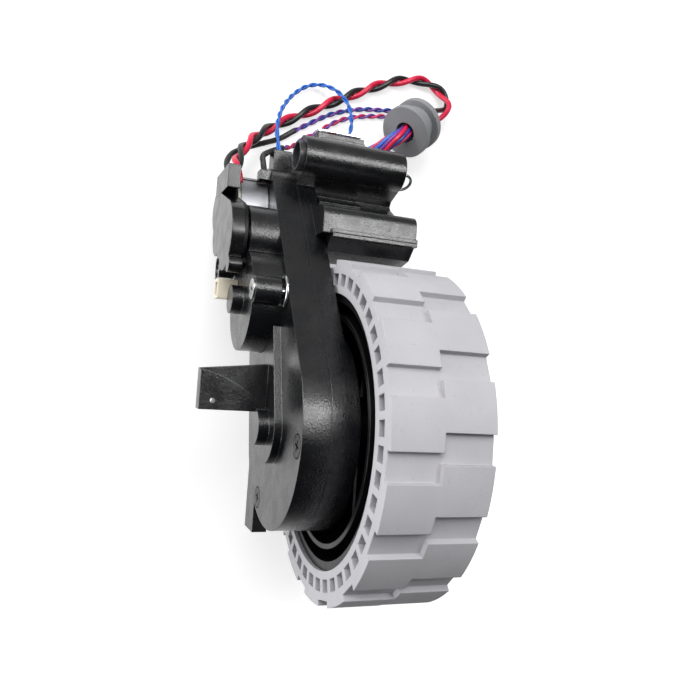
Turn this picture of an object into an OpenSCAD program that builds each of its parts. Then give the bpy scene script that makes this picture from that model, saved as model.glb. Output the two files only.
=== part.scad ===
// Drive wheel module of a robot vacuum cleaner: a geared arm that swings on a pivot tube,
// with its motor beside the tube and a treaded wheel on its far end.
// The origin is on the pivot axis, in the plane where the two gear case halves meet.
// +X points from the pivot towards the wheel, +Y along the axles away from the gear case
// and +Z up. The module lies on its tyre and on its motor barrel.

/* [Wheel] */
// Diameter over the tread blocks
wheel_d = 70; // [67:0.5:72]
// Width of the tyre
tyre_w = 20; // [18:0.5:24]
// Height of the tread blocks
tread_h = 1.2; // [0.8:0.1:1.8]
// Blocks in each of the two rows
tread_count = 15; // [12:1:18]
// Share of the pitch that a groove takes
groove_share = 0.375; // [0.25:0.005:0.45]
// Turn of the outer row against the inner row, in degrees
row_turn = 5.5; // [2:0.5:12]
// Air pockets in each side of the tyre
pocket_count = 45; // [36:1:48]
// Depth of an air pocket along the axle
pocket_depth = 6; // [3:0.5:8]
// Radial height of an air pocket
pocket_h = 2.4; // [1.6:0.1:2.8]
// Height of the tyre's rubber from the rim to the tread
tyre_h = 6.8; // [6.4:0.1:7.4]
// Thickness of the rim and of the other walls of the wheel
hub_wall = 1.8; // [1.4:0.1:2.2]
// Radius of the wheel's boss
hub_boss_r = 7; // [6:0.1:8.5]

/* [Arm] */
// Distance from the pivot to the wheel axle along X
axle_x = 59.5; // [58:0.1:61]
// Height of the wheel axle above the pivot
axle_z = 13; // [12.5:0.1:14]
// Radius of the drum at the wheel end
drum_r = 20.4; // [19.8:0.1:21]
// Depth of the inner half of the gear case
inner_t = 5.5; // [5:0.1:6.5]
// Depth of the outer half of the gear case along the arm
outer_t = 4.3; // [4:0.1:4.8]
// Wall of the gear case
wall = 1.2; // [1:0.1:1.5]
// Height of the ridge that runs up the inner face
ridge_h = 1.6; // [1.2:0.1:2]
// Half the width of the ridge
ridge_r = 7.3; // [6.5:0.1:8]
// Length of the boss over the inner axle bush
axle_boss_l = 2.2; // [1.8:0.1:2.6]
// Reach of the stop lug past the wheel axle
lug_reach = 24; // [22:0.5:26]
// Length of the spring post from the ridge
post_l = 13.7; // [10:0.1:16]
// Width of the spring post at its root
post_w = 9.6; // [9:0.1:10]
// Width of the spring post at its tip
post_tip_w = 8; // [7:0.1:8.6]
// Thickness of the spring post
post_t = 3.6; // [3:0.1:5]

/* [Pivot] */
// Radius of the hole that the pivot pin turns in
pivot_r = 2.8; // [2.4:0.05:2.9]
// Wall of the pivot bush
bush_wall = 0.5; // [0.4:0.05:0.6]
// Wall of the housing around the pivot bush
pivot_wall = 1.3; // [1.1:0.1:1.5]
// Length of the pivot tube from the split plane
tube_l = 24; // [22:0.5:26]

/* [Motor] */
// Diameter of the motor can
motor_d = 16; // [15.4:0.1:16.2]
// Length of the motor can
motor_l = 30; // [27:0.5:32]
// Wall of the motor barrel
barrel_wall = 1.2; // [1:0.1:1.4]
// Place of the motor along X
motor_x = 12.4; // [12:0.1:12.7]
// Height of the motor
motor_z = -12.7; // [-12.9:0.1:-12.5]
// Free space between the tyre and the parts next to it
tyre_gap = 1.4; // [1:0.1:1.6]
// Radius of the motor shaft
shaft_r = 1; // [0.8:0.05:1.2]

/* [Gears] */
// Module of the motor pinion and its wheel
mod1 = 0.5; // [0.48:0.005:0.5]
// Module of the second pair
mod2 = 0.6; // [0.58:0.005:0.6]
// Module of the third pair
mod3 = 0.7; // [0.66:0.01:0.72]
// Module of the pair at the wheel axle
mod4 = 0.72; // [0.69:0.01:0.72]
// Place of the second idler along X
idler2_x = 33.9; // [33.6:0.1:34.4]
// Height of the second idler
idler2_z = 4.5; // [4:0.1:5]
// Direction from the second idler to the first, in degrees
idler1_turn = 195.5; // [194:0.5:198]
// Radius of the idler pins
pin_r = 1; // [0.8:0.05:1.1]
// Play between a gear's bore and its pin
run_play = 0.05; // [0.02:0.01:0.1]
// Free space between a gear and a wall
gear_gap = 0.35; // [0.25:0.05:0.45]
// Radius of the output shaft
axle_r = 3; // [2.6:0.1:3.2]

/* [Covers] */
// Wall of the gear covers
cover_wall = 0.8; // [0.7:0.05:0.9]
// Height of the round encoder cap above the inner case
cap_h = 6.6; // [6.4:0.1:7]
// Depth of the first stage cover
case_h = 2.8; // [2.7:0.1:3.2]
// Thickness of the plate under the first stage
plate_t = 0.6; // [0.5:0.1:0.8]

/* [Wires] */
// Diameter over the twisted pair to the motor
motor_lead_d = 3; // [2.6:0.1:3.4]
// Diameter over each thin twisted lead
thin_lead_d = 1.4; // [1.2:0.1:1.6]
// Diameter over the twisted lead of the drop switch
switch_lead_d = 1.2; // [1:0.1:1.4]
// Diameter of the black sleeve on a thin lead
sleeve_d = 1.7; // [1.6:0.1:1.9]
// Diameter of the harness after the grommet
harness_d = 4; // [3.6:0.1:4.4]
// Outer diameter of the rubber grommet
grommet_d = 13.2; // [12:0.2:13.2]
// Thickness of the rubber grommet
grommet_t = 7; // [6:0.5:7]

/* [Hidden] */
$fn = 96;

// Teeth of each gear, from the motor to the wheel
pinion_n = 10;
transfer_n = 16;
wheel1_n = 24;
pinion2_n = 18;
wheel2_n = 30;
pinion3_n = 12;
wheel3_n = 26;
pinion4_n = 11;
wheel4_n = 40;
// Tooth proportions in modules, and the play between two flanks
tooth_add = 0.8;
tooth_ded = 1.15;
pressure = 20;
backlash = 0.14;

// Centres in X and Z: wheel axle, idlers from the motor on, and motor
axle_c = [axle_x, axle_z];
idler2_c = [idler2_x, idler2_z];
idler1_c = idler2_c + polar(mod2 * (pinion2_n + wheel2_n) / 2, idler1_turn);
motor_c = [motor_x, motor_z];
transfer_c = meet(motor_c, mod1 * (pinion_n + transfer_n) / 2, idler1_c, mod1 * (transfer_n + wheel1_n) / 2);
// Centre and radius of the arm's round end, beside the motor
arm_end = [9.4, -9];
arm_end_r = 7.6;
// Turn of the first wheel that brings its gap to the transfer gear's tooth
transfer_aim = heading(transfer_c, motor_c) + 180 / transfer_n;
transfer_turn = heading(transfer_c, idler1_c);
transfer_off = (transfer_turn - transfer_aim) * transfer_n / 360;
wheel1_aim = heading(idler1_c, transfer_c) + (0.5 - transfer_off) * -360 / wheel1_n;
reach3 = mod3 * (pinion3_n + wheel3_n) / 2;
reach4 = mod4 * (pinion4_n + wheel4_n) / 2;
idler3_c = meet(idler2_c, reach3, axle_c, reach4);

// Heights along Y, from the split plane
bay_in = wall - inner_t;
bay_out = outer_t - wall;
ridge_y = -inner_t - ridge_h;
drum_y = outer_t + wall;
tyre_y = outer_t + 0.7;
wheel_out = tyre_y + tyre_w;
rim_y = tyre_y + 0.8;
stage2_y = -inner_t - gear_gap;
stage2_w = 2.8;
magnet_y = -inner_t - gear_gap - stage2_w;
cap_y = -inner_t - cap_h;
cover2_y = cap_y + 0.4;
plate_y = cap_y - 0.3;
stage1_y = plate_y - plate_t - gear_gap;
stage1_w = case_h - cover_wall - 2 * gear_gap;
case_y = plate_y - plate_t - case_h;
stage3_y = bay_in + gear_gap;
stage3_w = 3.2;
stage4_w = 2.8;
stage4_y = bay_out - gear_gap - stage4_w;

// Wheel body inside the tyre
rim_r = wheel_d / 2 - tyre_h;
ring_r = rim_r - 4.2;

// Outer radii of the gears and of what covers them
transfer_r = mod1 * (transfer_n / 2 + tooth_add);
wheel1_r = mod1 * (wheel1_n / 2 + tooth_add);
pinion2_r = mod2 * (pinion2_n / 2 + tooth_add);
wheel2_r = mod2 * (wheel2_n / 2 + tooth_add);
pinion3_r = mod3 * (pinion3_n / 2 + tooth_add);
case_r = wheel1_r + gear_gap + cover_wall;
cap_r = wheel2_r + gear_gap + cover_wall;
cover2_r = pinion2_r + gear_gap + cover_wall;
motor_r = motor_d / 2;
bay_r = motor_r + 0.1;
barrel_r = bay_r + barrel_wall;
hub_hole_r = 3.4;
terminal_at = [4, -14.8];
terminal_w = 5.1;
terminal_h = 14;

// Pivot tube, barrel and what lines them up
bush_r = pivot_r + bush_wall;
tube_r = bush_r + pivot_wall;
tyre_clear_r = wheel_d / 2 + tyre_gap;
shoulder_y = 2.5;
barrel_x = 18.5;
barrel_top = 12;
bay_start = 22.5;
hair = 0.03;
flange_h = 0.8;
flange_t = 0.8;
barrel_end = tube_l;
end_wall = 1.4;
motor_in = plate_y;
motor_out = motor_in + motor_l;

// Places of the screws that hold the case halves
screw_r = 1.1;
screw_head_r = 2.1;
screw_head_h = 1.3;
case_screw_at = [axle_c + polar(17.7, 84.5), axle_c + polar(17.7, -27.6), [30, -13.6]];
screw_boss_r = 2.4;
cover_post = [26.4, -5.6];
post_block = 4.6;
case_ear = idler1_c + polar(case_r + 1, 38);
ear_r = 1.7;
cap_boss = idler2_c + polar(cap_r + 0.1, 98.5);
cap_boss_r = 2.8;
cap_boss_end = -inner_t - 1.4;

// Wire hook with both legs in the wall at the tube's end
hook_wire = 0.35;
hook_legs = [polar((bush_r + tube_r) / 2, 5), polar((bush_r + tube_r) / 2, 70)];

// Axle parts
axle_boss_r = 3.7;
journal_r = 2;
bush_r2 = 3;
shaft_in = ridge_y - axle_boss_l + 0.6;
race_r = 6.5;
race_w = 4.4;
race_y = drum_y - 0.9;
collar_r = race_r + 2;
collar_y = race_y + race_w + 0.5;
hub_y = collar_y + 0.8;
web_y = wheel_out - 5.5;
web_t = 2;
hex_r = 2.8;
tray_y = -4.2;
eye_r = 0.5;

// Drop switch behind the tube: its sprung side faces -X
switch_x = -8;
switch_y = 5.3;
switch_z = -9.5;
switch_h = 5;
switch_l = 11.4;
switch_t = 4.2;
lever_gap = 0.7;
lever_t = 0.35;
plunger_y = switch_y + 4;

// Encoder inside the round cap
board_y = cover2_y + cover_wall + 0.15;
board_t = 0.6;
magnet_t = 0.7;
connector_at = [29.2, -4.4];
connector_w = 4.2;
connector_h = 4;

// Places on the tread: middle of one groove, in degrees round the axle from +X
groove_start = 85.4;

// Routes of the wires: points chosen by hand, in millimetres
motor_route = [[7.2, -13.3, -3.4], [5.2, -13.3, -4.2], [3, -13.1, -5.4], [-0.4, -12.2, -9], [-4.4, -9.8, -13],
    [-8.6, -6.2, -17], [-12.2, -2, -20], [-15.2, 2.6, -20.4], [-18.8, 8.6, -20.4],
    [-22.6, 15, -20.4], [-26.2, 21.4, -20.4], [-29.6, 28, -20.4], [-31.6, 34.2, -20.4],
    [-32, 39, -20.4], [-30, 43.6, -20.2], [-26, 45, -18.6], [-22.6, 41.6, -16.4],
    [-20.3, 37.4, -15.6], [-18.4, 35, -14.5]];
lead_a_route = [[7, -14.1, -7.8], [5, -14.2, -8.6], [3, -14.5, -9.8], [0.8, -14.4, -11.6], [-2, -12.8, -14],
    [-4.8, -9, -16.8], [-7.4, -4.4, -19.4], [-9.8, 0, -21.2], [-12.6, 3.8, -21.3],
    [-15.4, 8, -21.3], [-18.2, 12.4, -21.3], [-20.4, 17.6, -21.3], [-21.6, 22, -21.3], [-22.2, 26, -21.3],
    [-22.8, 30, -21.3], [-23.6, 33.8, -21.2], [-24.2, 36.8, -20.6], [-24, 38.8, -19.8],
    [-22.7, 39.7, -19], [-21.5, 38.6, -18.4], [-20.1, 35.9, -17.7], [-18.4, 33.9, -16.6]];
lead_b_route = [[5.8, -6.7, -6], [4.3, -6.7, -6], [2.8, -6.8, -6.1], [0.8, -6.6, -8.2], [-2.4, -5.7, -12.2],
    [-5.6, -1.4, -16.2], [-8, 3, -19.6], [-10.8, 6.2, -21.2], [-13.2, 9.8, -21.3], [-16.2, 13.6, -21.3],
    [-18.6, 18.2, -21.3], [-19.8, 22.4, -21.3], [-20.5, 26, -21.3], [-21.2, 30, -21.3],
    [-22, 33.8, -21.3], [-22.5, 37, -21.3], [-22.1, 39.3, -21.2], [-21.3, 40.8, -20.5],
    [-20.4, 40.1, -19.6], [-19.8, 38.7, -18.7], [-19, 36.8, -17.7], [-17.3, 34.9, -16.6]];
switch_route = [[-5.8, 13.5, -8.5], [-6, 13.7, -10.6], [-7.6, 14.6, -13.2], [-11, 16, -15.2],
    [-15, 17, -16], [-19.4, 16.2, -16.4], [-22.8, 13.8, -17.4], [-24.8, 10.4, -19.4],
    [-24.4, 6.4, -20.6], [-21.4, 2.6, -20.2], [-17, -0.4, -18.2], [-13, -1.8, -16.6],
    [-9.4, -2.4, -14.6], [-6.2, -2.6, -12.2], [-3, -2.4, -10.8], [0.5, -2.3, -10.4]];
harness_route = [[-17.7, 34.1, -15.2], [-14.7, 30.7, -13.2], [-12.9, 28.6, -12.6], [-11.4, 26.6, -13],
    [-9.6, 24.4, -14.2], [-8, 21.8, -16.2], [-6.6, 18.8, -18.4], [-4.8, 15.6, -19.8], [-3.4, 12.6, -20],
    [-2.2, 10.8, -19.6], [-2.2, 9.7, -19.6]];
grommet_c = [-16.8, 33.1, -14.5];
grommet_turn = 130.7;
grommet_lean = 22.6;
plug_c = [-2.2, 5, -19.4];
floor_z = -22;

function polar(r, a) = [r * cos(a), r * sin(a)];

// Lower of the two points that lie ra from a and rb from b
function meet(a, ra, b, rb) =
    let (
        d = norm(b - a),
        u = (b - a) / d,
        s = (ra * ra - rb * rb + d * d) / (2 * d),
        h = sqrt(ra * ra - s * s)
    )
    a + s * u + h * [u[1], -u[0]];

// Direction from a to b, in degrees
function heading(a, b) = atan2(b[1] - a[1], b[0] - a[0]);

// Point of the involute of a base circle at which the radius is r
function involute(base, r) =
    let (roll = sqrt(max(0, r * r / (base * base) - 1)) * 180 / PI)
    [base * (cos(roll) + roll * PI / 180 * sin(roll)), base * (sin(roll) - roll * PI / 180 * cos(roll))];

// Places a flat outline in X and Z and gives it depth from y0 to y1
module slab(y0, y1)
    translate([0, y1, 0])
        rotate([90, 0, 0])
            linear_extrude(y1 - y0) children();

// Round bar or hole along Y, at a centre in X and Z
module rod(c, r, y0, y1)
    translate([c[0], y1, c[1]])
        rotate([90, 0, 0])
            cylinder(r = r, h = y1 - y0);

// Flat ring along Y
module ring(c, r, hole, y0, y1)
    difference() {
        rod(c, r, y0, y1);
        rod(c, hole, y0 - 1, y1 + 1);
    }

module disc(c, r) translate(c) circle(r = r);

// Strip between two discs, a hair inside their outer tangents
module band(a, ra, b, rb) {
    turn = heading(a, b);
    lean = acos((ra - rb) / norm(b - a));
    near = ra - hair;
    far = rb - hair;
    polygon([a, a + polar(near, turn - lean), b + polar(far, turn - lean), b,
        b + polar(far, turn + lean), a + polar(near, turn + lean)]);
}

// Two discs and the strip between them
module belt(a, ra, b, rb) {
    disc(a, ra);
    disc(b, rb);
    band(a, ra, b, rb);
}

// Outline of a spur gear whose first tooth points along the given direction
module gear_outline(mod, count, aim) {
    pitch_r = mod * count / 2;
    base = pitch_r * cos(pressure);
    tip = pitch_r + mod * tooth_add;
    root = pitch_r - mod * tooth_ded;
    mid = involute(base, pitch_r);
    half = 90 / count - backlash * mod / pitch_r * 90 / PI;
    shift = half + atan2(mid[1], mid[0]);
    low = max(root, base);
    side = [for (r = [low, pitch_r, tip]) let (p = involute(base, r)) [norm(p), shift - atan2(p[1], p[0])]];
    polygon([
        for (i = [0 : count - 1])
            let (at = aim + i * 360 / count)
            each concat(
                [polar(root, at - side[0][1] - (low > root ? 0 : 1))],
                [for (s = side) polar(s[0], at - s[1])],
                [for (k = [2, 1, 0]) polar(side[k][0], at + side[k][1])],
                [polar(root, at + side[0][1] + (low > root ? 0 : 1))]
            )
    ]);
}

// Gear along Y whose tooth points at another gear, or whose gap does
module gear(c, mod, count, to, tooth, y0, y1) {
    aim = heading(c, to) + (tooth ? 0 : 180 / count);
    slab(y0, y1)
        translate(c) gear_outline(mod, count, aim);
}

// Outline of the arm, smaller all round by the given amount
module arm_outline(inset) {
    belt(axle_c, drum_r - inset, motor_c, barrel_r - inset);
    disc(arm_end, arm_end_r - inset);
    band(axle_c, drum_r - inset, arm_end, arm_end_r - inset);
}

// Section of the barrel that holds the motor, with the shoulder above it
module barrel_outline() {
    disc(motor_c, barrel_r);
    difference() {
        shoulder_outline();
        disc(axle_c, tyre_clear_r);
    }
}

module shoulder_outline() {
    nose = 2.4;
    nose_x = 14.8;
    polygon([[8.3, -3.4], [7.4, -4.1], [6.4, -8], motor_c, [21.4, -11], [24.6, -2],
        [barrel_x + 3.4, barrel_top - 3.2], [barrel_x, barrel_top], [nose_x, barrel_top],
        [nose_x - nose, barrel_top - nose], [11.9, 5.8], [10.1, -0.5]]);
    disc([nose_x, barrel_top - nose], nose);
}

// Pivot tube and the neck that joins it to the barrel
module tube_outline() {
    turn = heading([0, 0], motor_c);
    disc([0, 0], tube_r);
    polygon([polar(tube_r, turn - 112), motor_c + polar(barrel_r, turn - 112), motor_c,
        [7.8, -4.4], [7.2, -4], [6.2, -3.4], [3.6, 2.7]]);
}

// Raised pad on the shoulder of the barrel
module barrel_pad()
    slab(5.3, 15.4)
        polygon([[9.9, -2.2], [9.67, -1.19], [9.24, -0.93], [7.66, -3.48], [8.09, -3.74], [8.6, -4.4]]);

module motor_bore(y0, y1) rod(motor_c, bay_r, y0, y1);

module outer_housing() color("#1c1d1f")
    difference() {
        union() {
            slab(0, outer_t) arm_outline(0);
            rod(axle_c, drum_r, 0, drum_y);
            rod(axle_c, collar_r, drum_y - 1, collar_y);
            slab(0, barrel_end) tube_outline();
            slab(shoulder_y, barrel_end)
                intersection() {
                    barrel_outline();
                    translate([-10, -40]) square([10 + barrel_x, 60]);
                }
            barrel_pad();
            flange(barrel_x - flange_t, outer_t, barrel_end);
            // Bracket that the drop switch is fixed under
            translate([-6.4, switch_y + 0.4, switch_z + switch_t])
                cube([7, switch_l - 0.8, 1.8]);
        }
        // Gear bay, open at the split plane
        slab(-1, bay_out) arm_bay();
        motor_bore(-1, barrel_end - end_wall);
        rod([0, 0], bush_r, -1, tube_l + 1);
        rod(axle_c, axle_r + 0.6, 0, drum_y + 2);
        rod(axle_c, race_r, race_y, collar_y + 1);
        rod(idler2_c, pin_r, 0, outer_t - 0.3);
        rod(idler3_c, pin_r, 0, outer_t - 0.3);
        for (p = case_screw_at) rod(p, screw_r - 0.2, -1, outer_t - 1);
        for (p = hook_legs) rod(p, hook_wire + 0.03, tube_l - 2.1, tube_l + 1);
    }

// Ridge along Y where the two halves of the barrel meet
module flange(x, y0, y1)
    translate([x, y0, barrel_top - 2])
        cube([flange_t, y1 - y0, 2 + flange_h]);

// Inside of the gear case, with bosses left for the screws
module arm_bay()
    difference() {
        intersection() {
            arm_outline(wall);
            // The bay stops short of the motor
            difference() {
                square(400, center = true);
                disc(motor_c, barrel_r);
                translate([-20, -60]) square([20 + bay_start, 120]);
            }
        }
        for (p = case_screw_at) disc(p, screw_boss_r);
    }

module inner_housing() color("#1b1c1e")
    difference() {
        union() {
            slab(-inner_t, 0) arm_outline(0);
            slab(ridge_y, -inner_t) belt(axle_c, ridge_r, idler2_c, ridge_r);
            rod(axle_c, axle_boss_r, ridge_y - axle_boss_l, ridge_y);
            stop_lug();
            spring_post();
            // Post that the first stage plate stands on
            rod(cover_post, 1.6, plate_y, -inner_t);
            // Tray that the switch lead enters at the arm's end
            slab(tray_y, 0) translate([-3, -12.6]) square([8, 4.4]);
        }
        slab(bay_in, 1) arm_bay();
        // Room for the second stage cover, and the way through for its gear
        slab(ridge_y - 1, -inner_t) cover2_outline(-0.1);
        rod(idler2_c, pinion3_r + gear_gap, -inner_t - 1, 0);
        motor_bore(-inner_t - 1, 1);
        translate([-4, -3.4, -11.5]) cube([6, 2.2, 2.2]);
        rod(axle_c, bush_r2, shaft_in, bay_in + 1);
        rod(idler1_c, pin_r, -inner_t - 1, bay_in - 0.2);
        rod(idler3_c, pin_r, bay_in - 0.8, 0);
        rod(cover_post, screw_r - 0.2, plate_y - 1, -inner_t - 1);
        rod(cap_boss, screw_r - 0.2, -inner_t - 1, -inner_t + 1.2);
        for (p = case_screw_at) {
            rod(p, screw_r + 0.1, -inner_t - 1, 1);
            rod(p, screw_head_r + 0.2, -inner_t - 1, -inner_t + screw_head_h);
        }
    }

// Square lug behind the drum that stops the arm
module stop_lug()
    translate([axle_x + lug_reach - 14, -inner_t + 0.3, axle_z - 19])
        cube([14, 3.2, 7]);

// Post that the suspension spring hooks on, stepped down beside a round ridge
module spring_post() {
    root_x = axle_x - 12.6;
    far_x = root_x + post_w;
    top = axle_z + 1.2;
    tip_y = ridge_y - post_l;
    difference() {
        translate([0, 0, top - post_t])
            linear_extrude(post_t)
                polygon([[far_x - post_tip_w, tip_y], [far_x, tip_y], [far_x, ridge_y + 0.2],
                    [root_x, ridge_y + 0.2]]);
        // Lower step on the side of the pivot, outside the round ridge
        difference() {
            translate([root_x - 1, tip_y - 1, top - 1.6])
                cube([post_w + 2, post_l + 2, 3]);
            translate([root_x + 26.1, tip_y - 4.2, top - 3])
                cylinder(r = 24.6, h = 6, $fn = 180);
        }
        // Eye for the spring's hook near the tip
        translate([far_x - 1.8, tip_y + 2.6, top - post_t - 1])
            cylinder(r = eye_r, h = post_t + 2, $fn = 32);
    }
}

module motor_bay_cover() color("#1d1e20")
    difference() {
        union() {
            slab(outer_t + 0.2, barrel_end)
                intersection() {
                    barrel_outline();
                    translate([barrel_x + 0.05, -40]) square([40, 60]);
                }
            flange(barrel_x + 0.05, outer_t + 0.2, barrel_end);
        }
        motor_bore(-1, barrel_end - end_wall);
    }

// Outline of the cover over the second pair, grown or cut by an inset
module cover2_outline(inset) {
    disc(idler2_c, cap_r - inset);
    disc(idler1_c, cover2_r - inset);
}

module second_stage_cover() color("#18191b")
    difference() {
        union() {
            slab(cover2_y, -inner_t) cover2_outline(0);
            rod(idler2_c, cap_r, cap_y, -inner_t);
            // Seat of the first stage plate and of the cap's middle boss
            rod(idler1_c, hub_hole_r + 0.9, plate_y, cover2_y);
            rod(idler2_c, 3, cap_y - 2.4, cap_y);
            // Screw boss on the round wall
            rod(cap_boss, cap_boss_r, cap_y, cap_boss_end);
        }
        slab(cover2_y + cover_wall, -inner_t + 1) cover2_outline(cover_wall);
        rod(idler2_c, pin_r, cap_y - 1.6, -inner_t);
        rod(idler1_c, hub_hole_r, plate_y - 1, -inner_t);
        rod(cap_boss, screw_r + 0.1, cap_y - 1, -inner_t + 1);
        rod(cap_boss, screw_head_r + 0.15, cap_y - 1, cap_y - 0.3 + screw_head_h);
        // Way out for the encoder's connector
        translate([connector_at[0] - 0.15, cap_y - 1, connector_at[1] - 0.15])
            cube([connector_w + 0.3, 2.5, connector_h + 0.3]);
    }

// Outline of the case of the first stage
module case_outline(inset) {
    disc(idler1_c, case_r - inset);
    disc(motor_c, 4.6 - inset);
    disc(transfer_c, transfer_r + gear_gap + cover_wall - inset);
    translate(cover_post) square(post_block - 2 * inset, center = true);
    disc(case_ear, ear_r - inset);
    band(idler1_c, case_r - inset, motor_c, 4.6 - inset);
    band(idler1_c, 4 - inset, cover_post, post_block / 2 - inset);
}

module first_stage_plate() color("#b9bbbd")
    difference() {
        slab(plate_y - plate_t, plate_y)
            difference() {
                union() {
                    case_outline(0);
                    disc(motor_c, motor_r);
                }
                disc(case_ear, ear_r + 0.3);
            }
        rod(idler1_c, hub_hole_r, plate_y - plate_t - 1, plate_y + 1);
        rod(motor_c, 3, plate_y - plate_t - 1, plate_y + 1);
        rod(transfer_c, pin_r, plate_y - plate_t - 1, plate_y + 1);
        rod(cover_post, screw_r + 0.1, plate_y - plate_t - 1, plate_y + 1);
    }

module first_stage_cover() color("#131416")
    difference() {
        slab(case_y, plate_y - plate_t) case_outline(0);
        slab(case_y + cover_wall, plate_y - plate_t + 1)
            difference() {
                case_outline(cover_wall);
                disc(cover_post, 2.2);
                disc(case_ear, ear_r);
            }
        rod(idler1_c, pin_r, case_y + 0.3, plate_y);
        rod(transfer_c, pin_r, case_y + 0.3, plate_y);
        rod(cover_post, screw_r + 0.1, case_y - 1, plate_y);
        rod(cover_post, screw_head_r + 0.1, case_y - 1, case_y + screw_head_h + 0.4);
        slab(case_y - 1, plate_y) terminal_outline(-0.05);
    }

// Outline of the cover over the motor's terminals
module terminal_outline(inset)
    translate([terminal_at[0] + inset, terminal_at[1] + inset])
        square([terminal_w - 2 * inset, terminal_h - 2 * inset]);

// Box over the motor's terminals, open towards the motor and where the leads come in
module terminal_cover() color("#0f1011")
    difference() {
        slab(case_y, plate_y - plate_t - 0.05) terminal_outline(0);
        slab(case_y + cover_wall, plate_y + 1)
            union() {
                terminal_outline(cover_wall);
                translate([-terminal_w / 2, 0]) terminal_outline(cover_wall);
            }
    }

module pivot_bush() color("#2a2b2e") ring([0, 0], bush_r, pivot_r, -1.2, tube_l);

// Pan head screw with its head on the inboard side, its shank along +Y and a cross recess
module screw(c, y, length) {
    difference() {
        union() {
            rod(c, screw_head_r, y, y + screw_head_h);
            rod(c, screw_r - 0.2, y, y + length);
        }
        for (a = [0, 90])
            translate([c[0], y, c[1]])
                rotate([0, a + 20, 0])
                    translate([-1.1, -1, -0.2]) cube([2.2, 1.7, 0.4]);
    }
}

module case_screws() color("#2c2d30")
    for (p = case_screw_at) screw(p, -inner_t, inner_t + outer_t - 1.4);

module cover_screws() color("#a9abad") {
    screw(cover_post, case_y + 0.4, case_h + plate_t + 3.5);
    screw(cap_boss, cap_y - 0.3, cap_h + 0.8);
}

// Sprung wire round the screw of the round cap
module boss_clip() color("#d8d9da")
    translate([cap_boss[0], -inner_t - 0.38, cap_boss[1]])
        rotate([90, -10.5, 0])
            rotate_extrude(angle = 176) translate([cap_boss_r + 0.3, 0]) circle(r = 0.35, $fn = 24);

module motor_can() color("#c3c5c7")
    difference() {
        rod(motor_c, motor_r, motor_in + 1, motor_out);
        rod(motor_c, motor_r - 0.8, motor_in, motor_out - 1);
        rod(motor_c, shaft_r + run_play, motor_in, motor_out + 1);
    }

// Nylon end of the motor, with the boss that the plate locates on
module motor_end_bell() color("#e4e2da")
    difference() {
        union() {
            rod(motor_c, motor_r, motor_in, motor_in + 1);
            rod(motor_c, motor_r - 0.85, motor_in + 0.5, motor_in + 3);
            rod(motor_c, 2.95, motor_in - plate_t, motor_in + 0.5);
        }
        rod(motor_c, motor_r - 2, motor_in + 1.2, motor_in + 4);
        rod(motor_c, shaft_r + run_play, motor_in - 3, motor_out);
    }

module motor_magnets() color("#3b3c40")
    intersection() {
        ring(motor_c, motor_r - 0.85, motor_r - 2.6, motor_in + 6.5, motor_out - 3);
        union()
            for (a = [90, 270])
                slab(motor_in, motor_out)
                    translate(motor_c)
                        polygon([[0, 0], polar(20, a - 55), polar(30, a), polar(20, a + 55)]);
    }

// Split steel ring around the can, with its seam to the front
module flux_ring() color("#d2d3d4")
    slab(motor_in + 0.6, -inner_t - 0.2)
        difference() {
            disc(motor_c, motor_r + 0.6);
            disc(motor_c, motor_r);
            translate(motor_c)
                rotate(146) translate([0, -0.5]) square([20, 1]);
            disc(idler1_c, cover2_r + 0.2);
        }

module motor_shaft() color("#bfc1c3") rod(motor_c, shaft_r, stage1_y - stage1_w - gear_gap / 2, motor_out + 0.6);

module motor_armature() color("#8a4a2b")
    slab(motor_in + 8, motor_out - 5)
        difference() {
            translate(motor_c) armature_outline();
            disc(motor_c, shaft_r);
        }

// Stack of the armature: a disc with three slots for the windings
module armature_outline()
    difference() {
        circle(r = motor_r - 3.1);
        for (a = [0, 120, 240])
            rotate(a) translate([3.2, -0.9]) square([8, 1.8]);
    }

module motor_commutator() color("#c47b3d") ring(motor_c, 2.4, shaft_r, motor_in + 3.6, motor_in + 7);

module motor_pinion() color("#c9a24a")
    difference() {
        gear(motor_c, mod1, pinion_n, transfer_c, true, stage1_y - stage1_w, stage1_y);
        rod(motor_c, shaft_r, stage1_y - stage1_w - 1, stage1_y + 1);
    }

// Plain gear that carries the drive from the pinion to the first idler
module transfer_gear() color("#e8e6df")
    difference() {
        slab(stage1_y - stage1_w, stage1_y)
            translate(transfer_c)
                gear_outline(mod1, transfer_n, heading(transfer_c, motor_c) + 180 / transfer_n);
        rod(transfer_c, pin_r + run_play, stage1_y - stage1_w - 1, stage1_y + 1);
    }

module transfer_pin() color("#b4b6b9") rod(transfer_c, pin_r, case_y + 0.3, plate_y);

module stage_one_gear() color("#e8e6df")
    difference() {
        union() {
            slab(stage1_y - stage1_w, stage1_y)
                translate(idler1_c) gear_outline(mod1, wheel1_n, wheel1_aim);
            rod(idler1_c, hub_hole_r - gear_gap, stage1_y - 0.5, stage2_y - stage2_w);
            gear(idler1_c, mod2, pinion2_n, idler2_c, true, stage2_y - stage2_w, stage2_y);
        }
        rod(idler1_c, pin_r + run_play, stage1_y - stage1_w - 1, 0);
    }

module stage_one_pin() color("#b4b6b9") rod(idler1_c, pin_r, case_y + 0.3, bay_in - 0.2);

module stage_two_gear() color("#e8e6df")
    difference() {
        union() {
            gear(idler2_c, mod2, wheel2_n, idler1_c, false, stage2_y - stage2_w, stage2_y);
            gear(idler2_c, mod3, pinion3_n, idler3_c, true, stage2_y - 0.2, stage3_y + stage3_w);
            rod(idler2_c, 2.4, magnet_y - magnet_t, stage2_y - stage2_w + 0.2);
        }
        rod(idler2_c, pin_r + run_play, cap_y, 0);
    }

module stage_two_pin() color("#b4b6b9") rod(idler2_c, pin_r, cap_y - 1.6, outer_t - 0.3);

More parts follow.
